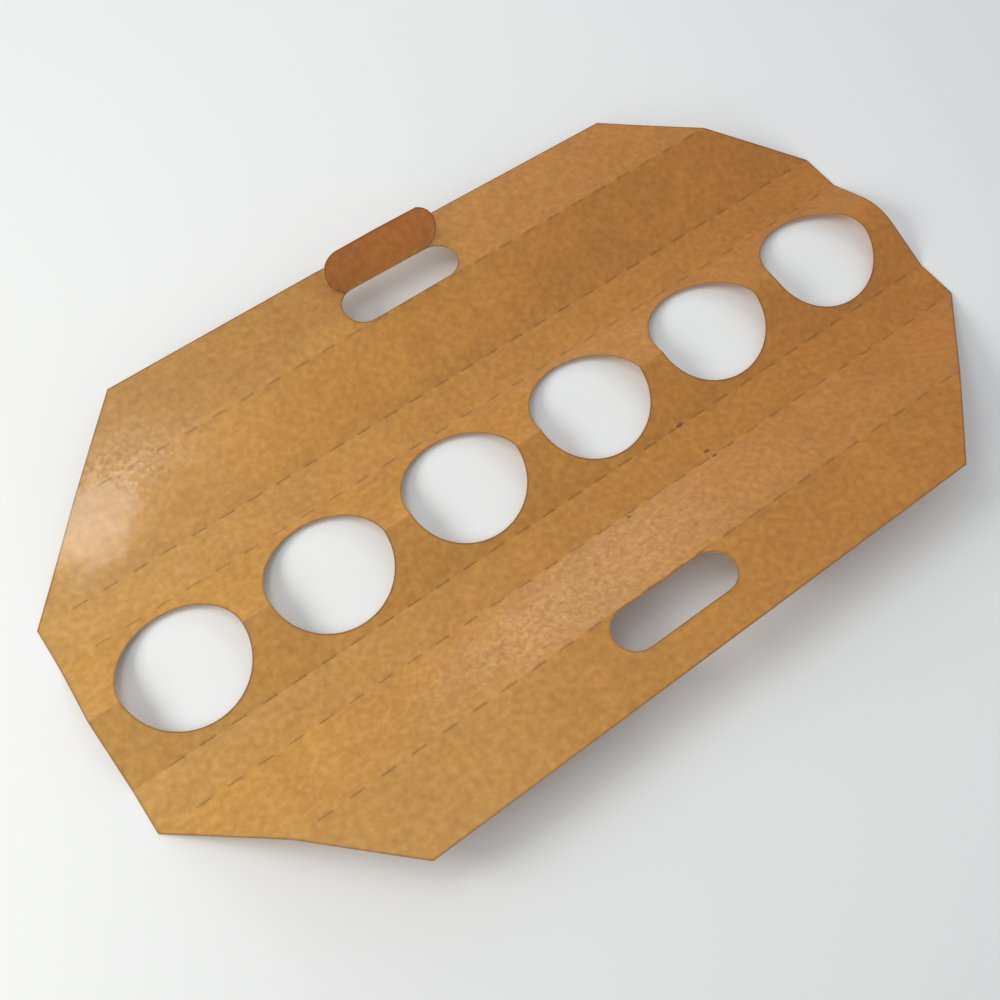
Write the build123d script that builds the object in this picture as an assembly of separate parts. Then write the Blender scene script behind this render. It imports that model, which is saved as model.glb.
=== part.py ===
from build123d import *
from math import asin, cos, radians, sin
import os

# A cardboard cup carrier for six cups, one cut and creased sheet, lying half unfolded.
# X runs along the creases, Y across them, Z up. The underside of the base panels is at Z = 0.
# Lengths in millimetres, angles in degrees.

# Board and folds, the radii on the inner side of each fold
board = 0.7
bend = 1.2
soft_bend = 40.0
end_bend = 2.0

# Cup holes along the middle strip
cup_count = 6
cup_pitch = 96.0
cup_hole = 77.0
end_web = 19.5

# Panel widths from the ridge outward, the same on both sides
strip_width = 45.0
base_width = 28.0
side_width = 56.0
flap_width = 52.0

# Corners cut off at 45 degrees, measured along the ends of the sheet
corner_cut = 108.0

# Hand slots in the two flaps
slot_length = 84.0
slot_width = 27.5
slot_from_crease = 1.0
slot_cutter_height = 14.0

# Slits that weaken each cut crease
slit_length = 9.0
slit_width = 0.2
slit_pitch = 19.6
slit_shift = 4.0

# Ridge of the middle strip, sharp along most of it and a rounded arch at the far end
ridge_height = 14.9
rounded_from = 120.0
rounded_shift = 4.2
rounded_height = 16.8
rounded_radius = 38.0

# Tilts along each wing, a side panel and its flap: at both ends, and on one side at the slot too
side_tilt = {+1: (12.5, 20.8, 21.4, 23.8), -1: (26.2, 23.6)}
flap_tilt = {+1: (9.5, 3.1, -3.0, -10.6), -1: (1.5, 12.8)}

# The tongue left in one slot, folded back over its hinge
tongue_depth = 28.0
tongue_angle = 57.0
tongue_root = 1.5
tongue_bend = 0.3

# Joins between the stretches of the sheet, clear of the bends, and how far the trim line overshoots
strip_join = 12.0
wing_join = 4.0
overshoot = 1.04

sheet_length = (cup_count - 1) * cup_pitch + cup_hole + 2 * end_web
half_length = sheet_length / 2
half_slot = slot_length / 2
hinge_length = slot_length - slot_width
wing_width = side_width + flap_width
crease_end = half_length - corner_cut * side_width / wing_width
flap_end = half_length - corner_cut
ridge_slope = asin(ridge_height / strip_width)
strip_foot = strip_width * cos(ridge_slope)
base_edge = strip_foot + base_width
above_all = 100.0


def section(x, path, radii):
    """Cut across the board at x. The path runs along its underside, towards +Y."""
    with BuildSketch(Plane.YZ.offset(x)) as cut:
        with BuildLine():
            FilletPolyline(*path, radius=radii)
            offset(amount=board, side=Side.LEFT)
        make_face()
    return cut.sketch


def arched_strip():
    """Middle strip: a sharp ridge that turns into a rounded arch at the far end."""
    left = (-strip_foot - strip_join, 0)
    right = (strip_foot + strip_join, 0)
    sharp = [left, (-strip_foot, 0), (0, ridge_height), (strip_foot, 0), right]
    sharp_radii = [bend + board, bend, soft_bend]
    rounded = [left, (-strip_foot, 0), (rounded_shift, rounded_height), (strip_foot, 0), right]
    rounded_radii = [bend + board, rounded_radius, end_bend + board]
    with BuildPart() as near:
        add(section(-half_length, sharp, sharp_radii))
        extrude(amount=half_length + rounded_from, dir=(1, 0, 0))
    with BuildPart() as far:
        add(section(rounded_from, sharp, sharp_radii))
        add(section(half_length, rounded, rounded_radii))
        loft(ruled=True)
    return near.part + far.part


def base_panel(side):
    """Flat panel that the carrier rests on, between the joins."""
    inner = strip_foot + strip_join
    outer = base_edge - wing_join
    return Pos(0, side * (inner + outer) / 2, board / 2) * Box(sheet_length, outer - inner, board)


def stations(side):
    """Places along a wing where its twist changes, with the tilts of side panel and flap."""
    places = (-half_length, half_length)
    if side > 0:
        places = (-half_length, -half_slot, half_slot, half_length)
    return dict(zip(places, zip(side_tilt[side], flap_tilt[side])))


def station_point(side, x, reach):
    """Point on a wing's underside at a station, at a reach along the sheet from the base crease."""
    side_slope, flap_slope = (radians(tilt) for tilt in stations(side)[x])
    on_side = min(reach, side_width)
    on_flap = reach - on_side
    y = base_edge + on_side * cos(side_slope) + on_flap * cos(flap_slope)
    return Vector(x, side * y, on_side * sin(side_slope) + on_flap * sin(flap_slope))


def wing_point(side, x, reach):
    """Point on a wing's underside, which is straight between its stations."""
    before = max(place for place in stations(side) if place < x)
    after = min(place for place in stations(side) if place >= x)
    share = (x - before) / (after - before)
    start = station_point(side, before, reach)
    return start + (station_point(side, after, reach) - start) * share


def wing(side):
    """Side panel and handle flap, twisted along their length, up to the outer edge."""
    with BuildPart() as panels:
        for x in stations(side):
            path = [(side * (base_edge - wing_join), 0), (side * base_edge, 0)]
            for reach in (side_width, wing_width):
                point = station_point(side, x, reach)
                path.append((point.Y, point.Z))
            radii = [bend + board, bend]
            if side < 0:
                path.reverse()
                radii.reverse()
            add(section(x, path, radii))
        loft(ruled=True)
    return panels.part


def flap_plane(side, from_crease):
    """Plane on a flap at the middle of the sheet, X along the sheet and Y outward."""
    reach = side_width + from_crease
    middle = wing_point(side, 0, reach)
    along = wing_point(side, half_slot, reach) - wing_point(side, -half_slot, reach)
    outward = middle - wing_point(side, 0, side_width)
    return Plane(origin=middle, x_dir=along, z_dir=along.cross(outward) * side)


def slot_cut(side):
    """Cutter for a hand slot, square to the flap."""
    with BuildPart() as cutter:
        with BuildSketch(flap_plane(side, slot_from_crease + slot_width / 2)):
            SlotOverall(slot_length, slot_width)
        extrude(amount=slot_cutter_height / 2, both=True)
    return cutter.part


def tongue():
    """Tongue of the open slot, hinged on the slot's outer edge and folded back."""
    hinge = flap_plane(+1, slot_from_crease + slot_width)
    across = Plane(origin=hinge.origin, x_dir=hinge.y_dir, z_dir=hinge.x_dir)
    lean = radians(tongue_angle)
    tip = (tongue_depth * cos(lean), board + tongue_depth * sin(lean))
    with BuildPart() as strip:
        with BuildSketch(across):
            with BuildLine():
                FilletPolyline((tongue_root, board), (0, board), tip, radius=tongue_bend)
                offset(amount=board, side=Side.LEFT)
            make_face()
        extrude(amount=half_slot, both=True)
    with BuildPart() as trim:
        with BuildSketch(hinge.offset(board).rotated((tongue_angle, 0, 0))):
            with Locations((0, tongue_depth / 2)):
                SlotOverall(slot_length, tongue_depth)
        extrude(amount=2 * board, both=True)
        with BuildSketch(hinge):
            Rectangle(hinge_length, 2 * tongue_root)
        extrude(amount=tongue_root)
    return strip.part & trim.part


def cup_holes():
    """Cutters for the cup holes, round on the flat sheet and so oval in plan."""
    with BuildPart() as cutters:
        with BuildSketch():
            with GridLocations(cup_pitch, 0, cup_count, 1):
                Ellipse(cup_hole / 2, cup_hole / 2 * cos(ridge_slope))
        extrude(amount=above_all, both=True)
    return cutters.part


def sheet_outline():
    """Plan outline of the sheet, an oblong with its corners cut off."""
    points = []
    for side in (+1, -1):
        row = []
        for end in (+1, -1):
            edge = Vector(end * half_length, side * base_edge)
            crease = wing_point(side, end * crease_end, side_width)
            tip = wing_point(side, end * flap_end, wing_width)
            beyond_tip = crease + (tip - crease) * overshoot
            row += [edge, crease, beyond_tip][::end]
        points += row[::side]
    with BuildPart() as outline:
        with BuildSketch():
            with BuildLine():
                Polyline(*[(point.X, point.Y) for point in points], close=True)
            make_face()
        extrude(amount=above_all, both=True)
    return outline.part


def slits(crease_y, reach):
    """Row of slits along a crease, as far as reach each way. crease_y gives its Y at any X."""
    count = int((2 * reach - slit_length) // slit_pitch)
    start = slit_shift - (count - 1) / 2 * slit_pitch
    places = [start + number * slit_pitch for number in range(count)]
    with BuildPart() as row:
        with BuildSketch():
            with Locations(*[(x, crease_y(x)) for x in places]):
                Rectangle(slit_length, slit_width)
        extrude(amount=above_all, both=True)
    return row.part


def carrier_sheet():
    sheet = arched_strip()
    cutters = [cup_holes()]
    for side in (+1, -1):
        sheet += base_panel(side)
        sheet += wing(side)
        cutters.append(slot_cut(side))
        cutters.append(slits(lambda x: side * strip_foot, half_length))
        cutters.append(slits(lambda x: side * base_edge, half_length))
        cutters.append(slits(lambda x: wing_point(side, x, side_width).Y, crease_end))
    sheet = (sheet & sheet_outline()) - cutters + tongue()
    middle = sheet.bounding_box().center()
    return Pos(0, -middle.Y, 0) * sheet


os.makedirs("parts", exist_ok=True)
export_step(carrier_sheet(), "parts/carrier_sheet.step")
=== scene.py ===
from collections import namedtuple
from math import radians

import bpy
from mathutils import Matrix, Vector

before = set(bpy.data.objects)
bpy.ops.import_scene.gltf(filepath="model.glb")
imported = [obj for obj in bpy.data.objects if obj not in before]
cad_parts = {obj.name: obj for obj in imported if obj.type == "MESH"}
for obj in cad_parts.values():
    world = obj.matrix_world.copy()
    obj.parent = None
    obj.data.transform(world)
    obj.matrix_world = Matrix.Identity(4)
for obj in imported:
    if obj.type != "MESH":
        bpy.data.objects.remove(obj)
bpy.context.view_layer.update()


def grey(value):
    return (value, value, value, 1)


# Camera, in metres, degrees and, for the lens, millimetres
CAMERA_AT = Vector((-0.2289, -0.2766, 0.6525))
CAMERA_AIM = Vector((-0.0343, -0.0191, 0.0))
CAMERA_ROLL = 0.92
LENS = 43.32
SENSOR = 36.0

# Soft boxes: place, aim, width and height in metres, and power in watts
SOFT_BOXES = {
    "window_light": ((-1.10, 0.55, 0.78), (0, 0, 0), 0.54, 0.54, 8.6),
    "side_light": ((-1.05, -0.25, 0.55), (0, 0, 0), 0.44, 0.44, 2.4),
    "top_light": ((-0.25, 0.23, 0.85), (-0.25, 0.05, 0), 0.22, 0.38, 0.95),
    "back_light": ((0.42, 1.50, 0.76), (0, 0, 0), 0.60, 0.60, 2.7),
}
LAMP_WHITE = (1.02, 1.0, 0.95)
SKY_WHITE = (0.97, 0.995, 1.03, 1)
SKY_STRENGTH = 0.50

# Floor, a hair below the sheet
FLOOR_SIZE = 8.0
FLOOR_HEIGHT = -0.0002
FLOOR_ROUGHNESS = 0.7
# Painted light: the floor's colour grows paler towards the far end, where less window light falls
FLOOR_NEAR = (0.805, 0.815, 0.815, 1)
FLOOR_FAR_PAINTED_LIGHT = (0.94, 0.955, 0.955, 1)
FLOOR_PAINTED_LIGHT_STOPS = (0.1, 0.9)

# Board colours, linear; the tones, which hold painted sheen, shade and light, the clouds and the
# flecks, which are painted glints, are factors
KRAFT_DARK = (0.416, 0.164, 0.007, 1)
KRAFT_MID = (0.472, 0.198, 0.011, 1)
KRAFT_LIGHT = (0.533, 0.237, 0.018, 1)
# Painted sheen makes the near end paler and whiter; painted shade makes the far end darker and
# deeper orange
SHEEN_TONE_NEAR = (1.07, 1.253, 2.95, 1)
SHADE_TONE_FAR = (1.03, 0.85, 0.50, 1)
CLOUD_DARK = (0.93, 0.92, 0.90, 1)
CLOUD_LIGHT = (1.07, 1.08, 1.10, 1)
FIBRE_DARK = (0.27, 0.10, 0.010, 1)
FIBRE_STRENGTH = grey(0.45)
# Painted shade on the tongue's inner face
TONGUE_PAINTED_SHADE = (1.08, 0.84, 0.70, 1)
# Painted shade on a flap, and painted light on a side panel
FLAP_PAINTED_SHADE = (0.89, 0.89, 0.91, 1)
SIDE_PAINTED_LIGHT = (1.07, 1.07, 1.05, 1)
RIM_DARK = (0.16, 0.060, 0.010, 1)
RIM_STRENGTH = grey(0.80)
CUT_PALE = (0.50, 0.25, 0.065, 1)
# Painted glints: light and dark flecks in the shiny band and corner
GLINT_FLECK_DARK = (0.90, 0.89, 0.86, 1)
GLINT_FLECK_LIGHT = (1.10, 1.11, 1.12, 1)
SPECK_RED = (0.24, 0.062, 0.003, 1)
SPECK_DARK = (0.20, 0.070, 0.015, 1)
BLACK = grey(0)
WHITE = grey(1)

# Roughness of the board, its smooth and rough grains, in general and in its shiny patches
GRAIN_SMOOTH = grey(0.41)
GRAIN_ROUGH = grey(0.53)
GLAZE_SMOOTH = grey(0.31)
GLAZE_ROUGH = grey(0.44)
SHINE_SMOOTH = grey(0.16)
SHINE_ROUGH = grey(0.38)
RUBBED_SMOOTH = grey(0.11)
DULL_ROUGH = grey(0.66)

# Gloss and relief of the board
SPECULAR_LEVEL = 0.85
BUMP_STRENGTH = 0.13
BUMP_DISTANCE = 0.0004

# Noises: cells in a metre, detail and roughness
MOTTLE = (230.0, 3.0, 0.45)
CLOUDS = (30.0, 4.0, 0.6)
FIBRES = (420.0, 2.0, 0.6)
GRAIN = (300.0, 2.0, 0.5)
SPECKLE = (340.0, 3.0, 0.65)
FIBRE_STRETCH = (1.0, 3.2, 3.2)
EDGE_CELLS = 60.0
EDGE_DETAIL = 3.0
EDGE_ROUGHNESS = 0.6
EDGE_PUSH = 0.010

# Values at which each ramp takes its colours
MOTTLE_STOPS = (0.28, 0.50, 0.72)
CLOUD_STOPS = (0.3, 0.7)
SHEEN_SHADE_STOPS = (0.0, 1.0)
FIBRE_STOPS = (0.68, 0.80)
GLINT_FLECK_STOPS = (0.34, 0.66)
GRAIN_STOPS = (0.35, 0.65)
SHINE_STOPS = (0.36, 0.64)
CUT_STOPS = (0.40, 0.48)
RIM_STOPS = (0.84, 0.98)

# Shift and scale that take X along the sheet to zero at its near end and one at its far end
LENGTHWISE_SHIFT = (0.5, 0, 0)
LENGTHWISE_SCALE = (1.6, 1, 1)

# Dark rim beside each cut: how far in it reaches, and the rays that look for the cut
RIM_WIDTH = 0.0024
RIM_RAYS = 8

# Patches of the sheet: centre and half sizes in metres, and the share of the half sizes
# that keeps its full strength
Patch = namedtuple("Patch", "centre half_sizes core")
# Painted shade on the tongue's inner face
TONGUE_SHADE_PATCH = Patch((0.0, 0.157, 0.036), (0.090, 0.030, 0.0145), 0.9)
# Painted shade on a flap, and painted light on a side panel
FLAP_SHADE_PATCH = Patch((-0.150, 0.175, 0.030), (0.160, 0.056, 0.080), 0.85)
SIDE_LIGHT_PATCH = Patch((-0.100, 0.096, 0.012), (0.180, 0.030, 0.060), 0.7)
RUBBED = Patch((-0.243, 0.104, 0.008), (0.040, 0.036, 0.036), 0.3)
SHINING = Patch((-0.205, 0.132, 0.015), (0.070, 0.045, 0.060), 0.3)
DULL = Patch((-0.23, -0.10, 0.010), (0.20, 0.09, 0.060), 0.4)
DULL_SLOPE = Patch((-0.100, 0.020, 0.008), (0.200, 0.026, 0.030), 0.7)
GLAZED_BAND = Patch((-0.010, -0.100, 0.012), (0.250, 0.040, 0.060), 0.4)
RED_SPECKS = (
    Patch((0.0870, -0.0435, 0.001), (0.0030, 0.0016, 0.004), 0.6),
    Patch((0.0885, -0.0672, 0.001), (0.0026, 0.0015, 0.004), 0.6),
    Patch((0.0905, -0.0725, 0.001), (0.0024, 0.0013, 0.004), 0.6),
)
DARK_SPECK = Patch((0.0210, -0.0745, 0.001), (0.0019, 0.0013, 0.004), 0.6)


class Nodes:
    """A material's node tree, with short calls to add and join nodes."""

    def __init__(self, name):
        self.material = bpy.data.materials.new(name)
        self.material.use_nodes = True
        self.tree = self.material.node_tree
        self.tree.nodes.clear()

    def add(self, kind, **values):
        """New node; each value goes to its input of that name, or else to its property."""
        node = self.tree.nodes.new("ShaderNode" + kind)
        for key, value in values.items():
            if key in node.inputs:
                node.inputs[key].default_value = value
            else:
                setattr(node, key, value)
        return node

    def join(self, source, target):
        self.tree.links.new(source, target)

    def surface(self, shader):
        """The material, with this shader on its surface."""
        out = self.add("OutputMaterial")
        self.join(shader.outputs["BSDF"], out.inputs["Surface"])
        return self.material

    def object_place(self):
        return self.add("TexCoord").outputs["Object"]

    def moved(self, source, shift, scale):
        """Coordinates stretched by scale, a factor for each axis, then shifted."""
        mapping = self.add("Mapping", Location=shift, Scale=scale)
        self.join(source, mapping.inputs["Vector"])
        return mapping.outputs["Vector"]

    def axis(self, source, name):
        parts = self.add("SeparateXYZ")
        self.join(source, parts.inputs["Vector"])
        return parts.outputs[name]

    def noise(self, place, kind):
        cells, detail, roughness = kind
        node = self.add("TexNoise", Scale=cells, Detail=detail, Roughness=roughness)
        self.join(place, node.inputs["Vector"])
        return node.outputs["Fac"]

    def ramp(self, source, stops, colours):
        """Colour or grey by the source's value, which takes one colour at each stop."""
        node = self.add("ValToRGB")
        elements = node.color_ramp.elements
        while len(elements) < len(stops):
            elements.new(0.5)
        for element, stop, colour in zip(elements, stops, colours):
            element.position = stop
            element.color = colour
        self.join(source, node.inputs["Fac"])
        return node.outputs["Color"]

    def mix(self, factor, a, b, blend="MIX"):
        node = self.add("Mix", data_type="RGBA", blend_type=blend)
        for value, socket in ((factor, node.inputs[0]), (a, node.inputs[6]), (b, node.inputs[7])):
            if isinstance(value, (int, float, tuple)):
                socket.default_value = value
            else:
                self.join(value, socket)
        return node.outputs[2]


def lengthwise(n, place):
    """Zero at the near end of the sheet and one at its far end."""
    return n.axis(n.moved(place, LENGTHWISE_SHIFT, LENGTHWISE_SCALE), "X")


def pulp_colour(n, place):
    """Mottled brown: fine cells of pulp over soft, wide clouds, with painted sheen at the near
    end, painted shade towards the far end, and a few dark fibres.
    """
    mottle = n.noise(place, MOTTLE)
    base = n.ramp(mottle, MOTTLE_STOPS, (KRAFT_DARK, KRAFT_MID, KRAFT_LIGHT))
    shade = n.ramp(n.noise(place, CLOUDS), CLOUD_STOPS, (CLOUD_DARK, CLOUD_LIGHT))
    base = n.mix(1.0, base, shade, "MULTIPLY")
    # Painted sheen at the near end, fading to painted shade towards the far end
    painted_light_and_shade = n.ramp(lengthwise(n, place), SHEEN_SHADE_STOPS, (SHEEN_TONE_NEAR, SHADE_TONE_FAR))
    base = n.mix(1.0, base, painted_light_and_shade, "MULTIPLY")
    fibres = n.noise(n.moved(place, (0, 0, 0), FIBRE_STRETCH), FIBRES)
    strands = n.ramp(fibres, FIBRE_STOPS, (BLACK, FIBRE_STRENGTH))
    return n.mix(strands, base, FIBRE_DARK)


def ragged(n, place):
    """Coordinates pushed about by noise, which give what is placed by them a rough edge."""
    push = n.add("TexNoise", Scale=EDGE_CELLS, Detail=EDGE_DETAIL, Roughness=EDGE_ROUGHNESS,
                 normalize=False)
    n.join(place, push.inputs["Vector"])
    moved = n.add("VectorMath", operation="MULTIPLY_ADD")
    n.join(push.outputs["Color"], moved.inputs[0])
    moved.inputs[1].default_value = (EDGE_PUSH, EDGE_PUSH, EDGE_PUSH)
    n.join(place, moved.inputs[2])
    return moved.outputs[0]


def mask(n, place, patch):
    """One in the core of a patch of the sheet, fading to zero at its half sizes."""
    scale = [1 / length for length in patch.half_sizes]
    shift = [-at * factor for at, factor in zip(patch.centre, scale)]
    away = n.add("VectorMath", operation="LENGTH")
    n.join(n.moved(place, shift, scale), away.inputs[0])
    return n.ramp(away.outputs["Value"], (patch.core, 1.0), (WHITE, BLACK))


def shade_light_and_specks(n, place, base):
    """Painted shade on a flap and on the inner face of the tongue, painted light on a side panel,
    and a few specks.
    """
    # Painted shade on the flap and tongue, painted light on the side panel
    for patch, painted_light_and_shade in ((FLAP_SHADE_PATCH, FLAP_PAINTED_SHADE), (SIDE_LIGHT_PATCH, SIDE_PAINTED_LIGHT), (TONGUE_SHADE_PATCH, TONGUE_PAINTED_SHADE)):
        painted_base = n.mix(1.0, base, painted_light_and_shade, "MULTIPLY")
        base = n.mix(mask(n, place, patch), base, painted_base)
    for speck in RED_SPECKS:
        base = n.mix(mask(n, place, speck), base, SPECK_RED)
    return n.mix(mask(n, place, DARK_SPECK), base, SPECK_DARK)


def cut_edge(n):
    """One on the thin cut faces, which stand across the sheet, and zero on its two sides."""
    upright = n.add("Math", operation="ABSOLUTE")
    n.join(n.axis(n.add("TexCoord").outputs["Normal"], "Z"), upright.inputs[0])
    return n.ramp(upright.outputs[0], CUT_STOPS, (WHITE, BLACK))


def rim(n):
    """Above zero close to a cut, where the board is pressed and darker."""
    rounded = n.add("Bevel", samples=RIM_RAYS, Radius=RIM_WIDTH)
    facing = n.add("VectorMath", operation="DOT_PRODUCT")
    n.join(rounded.outputs["Normal"], facing.inputs[0])
    n.join(n.add("NewGeometry").outputs["Normal"], facing.inputs[1])
    return n.ramp(facing.outputs["Value"], RIM_STOPS, (RIM_STRENGTH, BLACK))


def kraft_colour(n, place, speckle, glint_flecked):
    """Pulp and its marks, with painted glint flecks that make it more speckled where the board
    shines, with dark rims and pale cuts.
    """
    base = shade_light_and_specks(n, place, pulp_colour(n, place))
    # Painted glint flecks, only where the board shines
    painted_glints = n.ramp(speckle, GLINT_FLECK_STOPS, (GLINT_FLECK_LIGHT, GLINT_FLECK_DARK))
    base = n.mix(glint_flecked, base, n.mix(1.0, base, painted_glints, "MULTIPLY"))
    base = n.mix(rim(n), base, RIM_DARK)
    return n.mix(cut_edge(n), base, CUT_PALE)


def kraft_roughness(n, place, edge, grain, speckle, band, corner):
    """Grainy in general, dull at the near end and on a slope, shinier in a band and a corner."""
    rough = n.ramp(grain, GRAIN_STOPS, (GRAIN_SMOOTH, GRAIN_ROUGH))
    rough = n.mix(mask(n, edge, DULL), rough, DULL_ROUGH)
    rough = n.mix(mask(n, place, DULL_SLOPE), rough, DULL_ROUGH)
    rough = n.mix(band, rough, n.ramp(speckle, SHINE_STOPS, (GLAZE_SMOOTH, GLAZE_ROUGH)))
    rough = n.mix(corner, rough, n.ramp(speckle, SHINE_STOPS, (SHINE_SMOOTH, SHINE_ROUGH)))
    return n.mix(mask(n, edge, RUBBED), rough, RUBBED_SMOOTH)


def kraft_board():
    """Brown kraft board, with a finely pitted surface."""
    n = Nodes("kraft_board")
    place = n.object_place()
    edge = ragged(n, place)
    band = mask(n, edge, GLAZED_BAND)
    corner = mask(n, edge, SHINING)
    grain = n.noise(place, GRAIN)
    speckle = n.noise(place, SPECKLE)
    shader = n.add("BsdfPrincipled")
    shader.inputs["Specular IOR Level"].default_value = SPECULAR_LEVEL
    colour = kraft_colour(n, place, speckle, n.mix(1.0, band, corner, "LIGHTEN"))
    n.join(colour, shader.inputs["Base Color"])
    rough = kraft_roughness(n, place, edge, grain, speckle, band, corner)
    n.join(rough, shader.inputs["Roughness"])
    bump = n.add("Bump", Strength=BUMP_STRENGTH, Distance=BUMP_DISTANCE)
    n.join(grain, bump.inputs["Height"])
    n.join(bump.outputs["Normal"], shader.inputs["Normal"])
    return n.surface(shader)


def floor_material():
    """Pale floor, a little paler at the far end, away from the window light: painted light where
    less of that light reaches.
    """
    n = Nodes("pale_floor")
    shader = n.add("BsdfPrincipled", Roughness=FLOOR_ROUGHNESS)
    along = lengthwise(n, n.object_place())
    n.join(n.ramp(along, FLOOR_PAINTED_LIGHT_STOPS, (FLOOR_NEAR, FLOOR_FAR_PAINTED_LIGHT)), shader.inputs["Base Color"])
    return n.surface(shader)


def dress_sheet():
    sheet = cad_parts["carrier_sheet"]
    sheet.data.materials.clear()
    sheet.data.materials.append(kraft_board())


def add_floor():
    bpy.ops.mesh.primitive_plane_add(size=FLOOR_SIZE, location=(0, 0, FLOOR_HEIGHT))
    floor = bpy.context.object
    floor.name = "floor"
    floor.data.materials.append(floor_material())


def add_soft_box(name, at, aim, width, height, power):
    """Oblong area light at a place, turned towards another."""
    light = bpy.data.lights.new(name, "AREA")
    light.shape = "RECTANGLE"
    light.size = width
    light.size_y = height
    light.energy = power
    light.color = LAMP_WHITE
    lamp = bpy.data.objects.new(name, light)
    lamp.location = at
    lamp.rotation_euler = (Vector(aim) - Vector(at)).to_track_quat("-Z", "Y").to_euler()
    bpy.context.scene.collection.objects.link(lamp)


def light_studio():
    for name, values in SOFT_BOXES.items():
        add_soft_box(name, *values)
    world = bpy.data.worlds.new("studio")
    world.use_nodes = True
    background = world.node_tree.nodes["Background"]
    background.inputs["Color"].default_value = SKY_WHITE
    background.inputs["Strength"].default_value = SKY_STRENGTH
    bpy.context.scene.world = world


def place_camera():
    camera = bpy.data.cameras.new("camera")
    camera.lens = LENS
    camera.sensor_width = SENSOR
    holder = bpy.data.objects.new("camera", camera)
    turn = (CAMERA_AIM - CAMERA_AT).to_track_quat("-Z", "Y").to_matrix().to_4x4()
    roll = Matrix.Rotation(radians(CAMERA_ROLL), 4, "Z")
    holder.matrix_world = Matrix.Translation(CAMERA_AT) @ turn @ roll
    bpy.context.scene.collection.objects.link(holder)
    bpy.context.scene.camera = holder


dress_sheet()
add_floor()
light_studio()
place_camera()
bpy.context.scene.view_settings.view_transform = "Standard"
